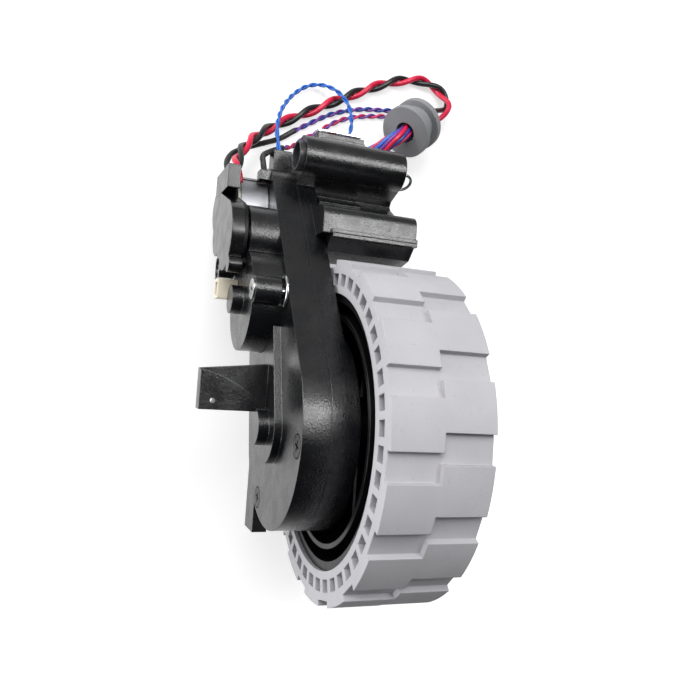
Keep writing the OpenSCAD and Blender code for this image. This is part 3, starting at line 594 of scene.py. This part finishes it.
class Finish(Enum):
    """Every finish of the module."""

    CASE = Moulding("moulded_case", (0.0026, 0.0029, 0.0038), 0.27, grain=0.36, depth=0.05,
                    specular=0.85)
    COVER = Moulding("moulded_cover", (0.0026, 0.0028, 0.0034), 0.22, grain=0.4, depth=0.012,
                     specular=0.8)
    HUB = Moulding("moulded_hub", (0.003, 0.0031, 0.0038), 0.36, grain=0.32, depth=0.015)
    BUSH = Moulding("bush_gray", (0.03, 0.031, 0.034), 0.35, grain=0.4)
    TREAD = Tread("finish_tread_gray", (0.44, 0.434, 0.457), 0.72)
    GROMMET = Moulding("finish_grommet_gray", (0.235, 0.24, 0.25), 0.6, grain=0.5, depth=0.01,
                       rub=1.25, mottle=0.08)
    NYLON = Moulding("finish_bell_nylon", (0.72, 0.7, 0.63), 0.45, grain=0.5, rub=1.1, mottle=0.05)
    ACETAL = Moulding("finish_gear_acetal", (0.78, 0.77, 0.73), 0.38, grain=0.5, rub=1.1, mottle=0.04)
    CREAM = Moulding("finish_plug_cream", (0.72, 0.66, 0.53), 0.4, grain=0.6, rub=1.1, mottle=0.05)
    BOARD = Moulding("finish_board_green", (0.015, 0.1, 0.05), 0.35, grain=0.8)
    CHIP = Moulding("finish_chip_black", (0.02, 0.02, 0.02), 0.5)
    MAGNET = Moulding("finish_magnet_dark", (0.045, 0.045, 0.05), 0.5, grain=0.5)
    BUTTON = Moulding("finish_button_red", (0.3, 0.03, 0.02), 0.4)
    CAN = Metal("finish_plate_steel", (0.36, 0.37, 0.39), 0.4)
    DARK_PLATE = Metal("finish_plate_dark", (0.03, 0.031, 0.034), 0.45)
    SCREW = Metal("finish_screw_steel", (0.68, 0.69, 0.7), 0.22, run=(1, 1, 1), marks=0.3)
    BLACK_SCREW = Metal("finish_screw_black", (0.045, 0.045, 0.05), 0.35, run=(1, 1, 1), marks=0.3)
    PIN = Metal("finish_pin_steel", (0.6, 0.61, 0.62), 0.2)
    RACE = Metal("finish_race_steel", (0.66, 0.66, 0.67), 0.16)
    BRASS = Metal("finish_pinion_brass", (0.62, 0.44, 0.18), 0.28)
    COPPER = Metal("commutator_copper", (0.6, 0.3, 0.16), 0.25)
    WINDING = Winding("finish_winding", (0.36, 0.13, 0.05))
    RED_LEAD = Insulation("lead_red", (0.62, 0.012, 0.055))
    BLACK_LEAD = Insulation("lead_black", (0.014, 0.014, 0.015))
    BLUE_LEAD = Insulation("finish_lead_blue", (0.02, 0.13, 0.52))
    NAVY_LEAD = Insulation("lead_navy", (0.018, 0.05, 0.3))
    PURPLE_LEAD = Insulation("lead_purple", (0.16, 0.045, 0.3))
    PINK_LEAD = Insulation("lead_pink", (0.55, 0.02, 0.1))
    SLEEVE = Insulation("sleeve_black", (0.016, 0.016, 0.017), 0.42)


class Paints:
    """Makes each finish's material once."""

    def __init__(self) -> None:
        """Starts with nothing made."""
        self.made: dict[Finish, bpy.types.Material] = {}

    def get(self, finish: Finish) -> bpy.types.Material:
        """The finish's material, built when it is first asked for.

        Args:
            finish: The finish.

        Returns:
            Its material.
        """
        if finish not in self.made:
            self.made[finish] = finish.value.material()
        return self.made[finish]


# Rigid pieces


NODE_FINISH: dict[Finish, list[str]] = {
    Finish.CASE: ["outer_housing", "inner_housing", "motor_bay_cover", "second_stage_cover",
                  "drop_switch", "lead_clip"],
    Finish.COVER: ["first_stage_cover", "terminal_cover", "harness_plug"],
    Finish.HUB: ["wheel_hub", "wheel_cap"],
    Finish.BUSH: ["pivot_bush"],
    Finish.TREAD: ["tyre"],
    Finish.GROMMET: ["grommet"],
    Finish.NYLON: ["motor_end_bell"],
    Finish.ACETAL: ["transfer_gear", "stage_one_gear", "stage_two_gear", "stage_three_gear",
                    "output_gear"],
    Finish.CREAM: ["encoder_connector"],
    Finish.BOARD: ["encoder_board"],
    Finish.CHIP: ["encoder_sensor"],
    Finish.MAGNET: ["motor_magnets", "encoder_magnet"],
    Finish.BUTTON: ["switch_plunger"],
    Finish.CAN: ["motor_can", "flux_ring"],
    Finish.DARK_PLATE: ["first_stage_plate"],
    Finish.SCREW: ["cover_screws", "wheel_screw", "wheel_washer"],
    Finish.BLACK_SCREW: ["case_screws"],
    Finish.PIN: ["transfer_pin", "stage_one_pin", "stage_two_pin", "stage_three_pin", "motor_shaft",
                 "output_shaft", "spring_hook", "boss_clip", "switch_lever"],
    Finish.RACE: ["bearing_outer_race", "bearing_inner_race", "bearing_balls"],
    Finish.BRASS: ["motor_pinion", "inner_bush"],
    Finish.COPPER: ["motor_commutator"],
    Finish.WINDING: ["motor_armature"],
}


@dataclass
class RigidPieces:
    """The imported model's own pieces, which keep their shapes and get their finishes."""

    nodes: dict[str, bpy.types.Object]
    paints: Paints

    def dress(self) -> None:
        """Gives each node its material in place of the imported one."""
        for finish, names in NODE_FINISH.items():
            material = self.paints.get(finish)
            for name in names:
                self.nodes[name].data.materials.clear()
                self.nodes[name].data.materials.append(material)
                LOG.info("%s is finished in %s", name, material.name)


# Leads


@dataclass
class Strand:
    """One wire of a lead: its place across the lead in millimetres, its radius and its finish."""

    offset: float
    angle: float
    radius: float
    finish: Finish


@dataclass
class Lead:
    """A twisted lead, which replaces the plain tube of one node.

    Over its last stretch the twist is slower, and the strands of a loose lead stand apart there.
    """

    name: str
    node: str
    slot: str
    points: list[Point]
    diameter: float
    pitch: float
    strands: list[Strand]
    far_end: str = "object"
    loose: float = 0.0
    with_pieces: list[str] = field(default_factory=list)
    sides: int = 10
    slow_stretch: float = 14.0
    slow_share: float = 0.5
    open_stretch: float = 12.0
    open_rise: float = 8.0
    open_fall: float = 4.0

    def shell(self, line: np.ndarray) -> Shell:
        """Strands wound round the centreline as helices.

        A strand's centre is line + offset * (cos a * sideways + sin a * upward), where a grows
        by one turn for each pitch, and by half of that in the slow stretch. In the open stretch
        the offset grows by the loose amount, over the rise, and comes back over the fall.

        Args:
            line: The centreline.

        Returns:
            All the strands in one shell.
        """
        side, up = axes_along(line)
        run = along(line)
        left = run[-1] - run
        rise = np.clip((self.open_stretch - left) / self.open_rise, 0, 1)
        open_share = rise * np.clip(left / self.open_fall, 0, 1)
        wound = run - self.slow_share * np.clip(self.slow_stretch - left, 0, None)
        shells = []
        for number, strand in enumerate(self.strands):
            angle = strand.angle + 2 * np.pi * wound[:, None] / self.pitch
            reach = (strand.offset + self.loose * open_share)[:, None]
            centre = line + reach * (np.cos(angle) * side + np.sin(angle) * up)
            shells.append(tube(centre, strand.radius, self.sides, number))
        return Shell.joined(shells)

    def build(self, paints: Paints) -> None:
        """Args:
            paints: Where the materials come from.
        """
        line = Route(self.points).line()
        made = self.shell(line).piece(self.name, [paints.get(s.finish) for s in self.strands])
        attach(made, "gearcase")
        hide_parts(self.node)


def pair(radius: float, one: Finish, other: Finish) -> list[Strand]:
    """Two strands that touch along the centreline."""
    return [Strand(radius, 0.0, radius, one), Strand(radius, math.pi, radius, other)]


@dataclass
class Sleeve:
    """Black tubing over the first stretch of a thin lead."""

    name: str
    points: list[Point]
    reach: float
    radius: float = 0.68
    sides: int = 16
    wave: float = 0.02
    waves_per_mm: float = 1.7
    roll: float = 0.06
    roll_width: float = 0.3

    def build(self, paints: Paints) -> None:
        """Makes the sleeve: a tube on the lead's own line.

        Its radius is radius * (1 + wave * sin(waves_per_mm * run) + roll * exp(-u * u)), where u
        is the distance from the middle of the rolled end, in roll widths.

        Args:
            paints: Where the material comes from.
        """
        line = Route(self.points).line()
        line = line[along(line) < self.reach]
        run = along(line)
        wave = self.wave * np.sin(run * self.waves_per_mm)
        roll = self.roll * np.exp(-((run - run[-1] + self.roll_width) / self.roll_width) ** 2)
        shell = tube(line, self.radius * (1 + wave + roll), self.sides)
        made = shell.piece(self.name, [paints.get(Finish.SLEEVE)])
        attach(made, "gearcase")
        LOG.info("%s covers %.0f mm", self.name, self.reach)


MOTOR_ROUTE: list[Point] = [
    (7.2, -13.3, -3.4), (5.2, -13.3, -4.2), (3, -13.1, -5.4), (-0.4, -12.2, -9), (-4.4, -9.8, -13),
    (-8.6, -6.2, -17), (-12.2, -2, -20), (-15.2, 2.6, -20.4), (-18.8, 8.6, -20.4), (-22.6, 15, -20.4),
    (-26.2, 21.4, -20.4), (-29.6, 28, -20.4), (-31.6, 34.2, -20.4), (-32, 39, -20.4), (-30, 43.6, -20.2),
    (-26, 45, -18.6), (-22.6, 41.6, -16.4), (-20.3, 37.4, -15.6), (-18.4, 35, -14.5)]
LEAD_A_ROUTE: list[Point] = [
    (7, -14.1, -7.8), (5, -14.2, -8.6), (3, -14.5, -9.8), (0.8, -14.4, -11.6), (-2, -12.8, -14),
    (-4.8, -9, -16.8), (-7.4, -4.4, -19.4), (-9.8, 0, -21.2), (-12.6, 3.8, -21.3), (-15.4, 8, -21.3),
    (-18.2, 12.4, -21.3), (-20.4, 17.6, -21.3), (-21.6, 22, -21.3), (-22.2, 26, -21.3),
    (-22.8, 30, -21.3), (-23.6, 33.8, -21.2), (-24.2, 36.8, -20.6), (-24, 38.8, -19.8),
    (-22.7, 39.7, -19), (-21.5, 38.6, -18.4), (-20.1, 35.9, -17.7), (-18.4, 33.9, -16.6)]
LEAD_B_ROUTE: list[Point] = [
    (5.8, -6.7, -6), (4.3, -6.7, -6), (2.8, -6.8, -6.1), (0.8, -6.6, -8.2), (-2.4, -5.7, -12.2),
    (-5.6, -1.4, -16.2), (-8, 3, -19.6), (-10.8, 6.2, -21.2), (-13.2, 9.8, -21.3), (-16.2, 13.6, -21.3),
    (-18.6, 18.2, -21.3), (-19.8, 22.4, -21.3), (-20.5, 26, -21.3), (-21.2, 30, -21.3),
    (-22, 33.8, -21.3), (-22.5, 37, -21.3), (-22.1, 39.3, -21.2), (-21.3, 40.8, -20.5),
    (-20.4, 40.1, -19.6), (-19.8, 38.7, -18.7), (-19, 36.8, -17.7), (-17.3, 34.9, -16.6)]
SWITCH_ROUTE: list[Point] = [
    (-5.8, 13.5, -8.5), (-6, 13.7, -10.6), (-7.6, 14.6, -13.2), (-11, 16, -15.2), (-15, 17, -16),
    (-19.4, 16.2, -16.4), (-22.8, 13.8, -17.4), (-24.8, 10.4, -19.4), (-24.4, 6.4, -20.6),
    (-21.4, 2.6, -20.2), (-17, -0.4, -18.2), (-13, -1.8, -16.6), (-9.4, -2.4, -14.6),
    (-6.2, -2.6, -12.2), (-3, -2.4, -10.8), (0.5, -2.3, -10.4)]
HARNESS_ROUTE: list[Point] = [
    (-17.7, 34.1, -15.2), (-14.7, 30.7, -13.2), (-12.9, 28.6, -12.6), (-11.4, 26.6, -13),
    (-9.6, 24.4, -14.2), (-8, 21.8, -16.2), (-6.6, 18.8, -18.4), (-4.8, 15.6, -19.8), (-3.4, 12.6, -20),
    (-2.2, 10.8, -19.6), (-2.2, 9.7, -19.6)]
THICK = 0.7
THIN = 0.33
FINE = 0.29
HARNESS_RING = 1.4
HARNESS_THICK = 0.85 * THICK
HARNESS_THIN = 0.62 * THICK
HARNESS_COLOURS: list[Finish] = [
    Finish.RED_LEAD, Finish.NAVY_LEAD, Finish.PINK_LEAD, Finish.PURPLE_LEAD, Finish.BLACK_LEAD,
    Finish.BLUE_LEAD, Finish.PINK_LEAD, Finish.BLUE_LEAD, Finish.PURPLE_LEAD]


def harness_strands() -> list[Strand]:
    """The harness's wires, side by side in a ring: the motor's two among seven thin ones.

    Returns:
        The strands.
    """
    motor = (Finish.RED_LEAD, Finish.BLACK_LEAD)
    turn = math.tau / len(HARNESS_COLOURS)
    return [Strand(HARNESS_RING, k * turn, HARNESS_THICK if c in motor else HARNESS_THIN, c)
            for k, c in enumerate(HARNESS_COLOURS)]


def leads() -> list[Lead]:
    """All leads of the module, each with its own colours and twist.

    Returns:
        The leads.
    """
    return [
        Lead("motor_lead_twist", "motor_lead", "lead_red_black", MOTOR_ROUTE, 3.0, 13.5,
             pair(THICK, Finish.RED_LEAD, Finish.BLACK_LEAD), loose=0.8),
        Lead("sensor_lead_a_twist", "sensor_lead_a", "lead_thin", LEAD_A_ROUTE, 1.4, 5.5,
             pair(THIN, Finish.PURPLE_LEAD, Finish.NAVY_LEAD)),
        Lead("sensor_lead_b_twist", "sensor_lead_b", "lead_thin", LEAD_B_ROUTE, 1.4, 5.5,
             pair(THIN, Finish.PINK_LEAD, Finish.PURPLE_LEAD)),
        Lead("switch_lead_twist", "switch_lead", "lead_blue", SWITCH_ROUTE, 1.2, 5.0,
             pair(FINE, Finish.BLUE_LEAD, Finish.BLUE_LEAD)),
        Lead("harness_bundle", "harness", "lead_bundle", HARNESS_ROUTE, 4.0, 34.0, harness_strands(),
             far_end="plug", with_pieces=["harness_plug", "grommet"]),
    ]


def sleeves() -> list[Sleeve]:
    """The two sleeves, each over the first stretch of a sensor lead."""
    return [Sleeve("sensor_sleeve_a", LEAD_A_ROUTE, 33.0), Sleeve("sensor_sleeve_b", LEAD_B_ROUTE, 20.0)]


# Studio


def set_at(thing: bpy.types.Object, axes: Sequence[np.ndarray], place: Point) -> None:
    """Places a camera or lamp, and links it.

    Args:
        thing: The object.
        axes: Its own X, Y and Z directions.
        place: Where it stands.
    """
    world = np.eye(4)
    world[:3, :3] = np.stack(axes, axis=1)
    world[:3, 3] = np.array(place) * MM
    thing.matrix_world = Matrix(world.tolist())
    bpy.context.scene.collection.objects.link(thing)


@dataclass
class Lamp:
    """A soft box: where it hangs, its width and height, its power in watts and what it faces."""

    name: str
    place: Point
    size: Pair
    power: float
    aim: Point = (35.0, 5.0, 0.0)
    lean: float = 0.001

    def build(self) -> None:
        """Adds the lamp. Its sides are square to the line from what it faces.

        The lean keeps the cross product with the vertical from vanishing for a lamp overhead.
        """
        data = bpy.data.lights.new(self.name, "AREA")
        data.shape = "RECTANGLE"
        data.size, data.size_y = (v * MM for v in self.size)
        data.energy = self.power
        back = unit(np.array(self.place, float) - np.array(self.aim, float))
        side = unit(np.cross(UP + self.lean, back))
        set_at(bpy.data.objects.new(self.name, data), [side, np.cross(back, side), back], self.place)


LAMPS: list[Lamp] = [
    Lamp("key", (-295.0, -150.0, 480.0), (380.0, 320.0), 2.6),
    Lamp("strip", (-135.0, 215.0, 540.0), (220.0, 220.0), 1.4),
    Lamp("rim", (60.0, -500.0, 100.0), (500.0, 160.0), 2.0, aim=(35.0, 0.0, 0.0)),
]


@dataclass
class Studio:
    """Floor, backdrop light, lamps and camera.

    The sky's strength goes from one value of sky to the other as the cosine to sky_side goes
    over sky_range. The floor's glow, and what polished pieces mirror of it, go from one value
    to the other as the distance from sheet_middle goes over sheet.
    """

    floor_z: float = -22.0
    floor_half: float = 1500.0
    floor_shade: float = 0.5
    bounce_shade: float = 0.8
    bounce_roughness: float = 0.9
    glow: Pair = (0.6, 1.0)
    mirrored: Pair = (1.0, 0.03)
    sheet: Pair = (100.0, 300.0)
    sheet_middle: Point = (-30.0, -60.0, -22.0)
    sky: Pair = (0.03, 0.55)
    sky_range: Pair = (0.0, 0.95)
    sky_side: Point = (-0.75, -0.6, 0.28)
    lens: float = 720.0
    image: float = 700.0
    sensor: float = 36.0
    clip: Pair = (5.0, 20000.0)
    eye: Point = (46.812, -43.407, 154.412)
    right: Point = (-0.07088, 0.93248, 0.35421)
    down: Point = (0.99712, 0.07580, 0.0)

    def camera(self) -> None:
        """Sets the camera where the photograph was taken from.

        Its rotation has the image's right, the opposite of the image's down, and their cross
        product as columns, made square to each other first.
        """
        right = unit(np.array(self.right))
        top = -np.array(self.down)
        top = unit(top - right * (top @ right))
        back = np.cross(right, top)
        data = bpy.data.cameras.new("camera")
        data.sensor_width = self.sensor
        data.lens = self.sensor * self.lens / self.image
        data.clip_start, data.clip_end = (v * MM for v in self.clip)
        camera = bpy.data.objects.new("camera", data)
        set_at(camera, [right, top, back], self.eye)
        bpy.context.scene.camera = camera

    def floor(self) -> None:
        """White sheet that looks white to the camera and keeps the module's soft shadow.

        The camera, and a ray through glass, see a gray that the lamps light plus a glow. A
        mirrored ray sees the sheet as white near its middle and fading away from it, and every
        other ray sees a plain white floor.
        """
        half = self.floor_half
        points = np.array([[-half, -half, self.floor_z], [half, -half, self.floor_z],
                           [half, half, self.floor_z], [-half, half, self.floor_z]])
        board = Board("floor_white")
        board.put(board.shader, Base_Color=(*[self.bounce_shade] * 3, 1), Roughness=self.bounce_roughness)
        path = board.add("ShaderNodeLightPath")
        plain = board.add("ShaderNodeBsdfDiffuse")
        board.put(plain, Color=(*[self.floor_shade] * 3, 1))
        far = board.add("ShaderNodeVectorMath", operation="DISTANCE")
        board.join(board.place, far.inputs[0])
        far.inputs[1].default_value = tuple(v * MM for v in self.sheet_middle)
        near_and_far = [v * MM for v in self.sheet]
        glow, mirrored = (board.add("ShaderNodeEmission") for _ in range(2))
        for light, strengths in ((glow, self.glow), (mirrored, self.mirrored)):
            strength = board.scaled(far.outputs["Value"], *strengths, *near_and_far)
            board.put(light, Color=(1, 1, 1, 1), Strength=strength)
        seen = board.add("ShaderNodeAddShader")
        board.join(plain.outputs[0], seen.inputs[0])
        board.join(glow.outputs[0], seen.inputs[1])
        direct = board.add("ShaderNodeMath", operation="MAXIMUM")
        board.join(path.outputs["Is Camera Ray"], direct.inputs[0])
        board.join(path.outputs["Is Transmission Ray"], direct.inputs[1])
        either = board.blend(direct.outputs[0], board.shader.outputs[0], seen.outputs[0])
        all_rays = board.blend(path.outputs["Is Glossy Ray"], either, mirrored.outputs[0])
        board.join(all_rays, board.output.inputs[0])
        made = Shell(points, [[0, 1, 2, 3]], np.zeros(1)).piece("floor", [board.material])

    def world(self) -> None:
        """Pale light, strongest from the picture's upper left, that the camera sees as white."""
        world = bpy.data.worlds.new("studio")
        bpy.context.scene.world = world
        world.use_nodes = True
        nodes, links = world.node_tree.nodes, world.node_tree.links
        nodes.clear()
        toward = nodes.new("ShaderNodeVectorMath")
        toward.operation = "DOT_PRODUCT"
        toward.inputs[1].default_value = self.sky_side
        links.new(nodes.new("ShaderNodeTexCoord").outputs["Generated"], toward.inputs[0])
        strength = nodes.new("ShaderNodeMapRange")
        ranges = ("From Min", "From Max", "To Min", "To Max")
        for socket, value in zip(ranges, (*self.sky_range, *self.sky)):
            strength.inputs[socket].default_value = value
        links.new(toward.outputs["Value"], strength.inputs["Value"])
        light = nodes.new("ShaderNodeBackground")
        links.new(strength.outputs[0], light.inputs["Strength"])
        white = nodes.new("ShaderNodeBackground")
        path = nodes.new("ShaderNodeLightPath")
        direct = nodes.new("ShaderNodeMath")
        direct.operation = "MAXIMUM"
        choice = nodes.new("ShaderNodeMixShader")
        output = nodes.new("ShaderNodeOutputWorld")
        for node in (light, white):
            node.inputs["Color"].default_value = (1, 1, 1, 1)
        links.new(path.outputs["Is Camera Ray"], direct.inputs[0])
        links.new(path.outputs["Is Transmission Ray"], direct.inputs[1])
        links.new(direct.outputs[0], choice.inputs[0])
        links.new(light.outputs[0], choice.inputs[1])
        links.new(white.outputs[0], choice.inputs[2])
        links.new(choice.outputs[0], output.inputs[0])

    def build(self) -> None:
        """Sets up the whole studio."""
        bpy.context.scene.view_settings.view_transform = "Standard"
        self.camera()
        self.floor()
        self.world()
        for lamp in LAMPS:
            lamp.build()


def main() -> None:
    """Builds the module's dressing and the studio round it."""
    logging.basicConfig(level=logging.INFO, format="%(name)s: %(message)s")
    paints = Paints()
    RigidPieces(frame["nodes"], paints).dress()
    for cord in (*leads(), *sleeves()):
        cord.build(paints)
    Studio().build()


if __name__ == "__main__":
    main()
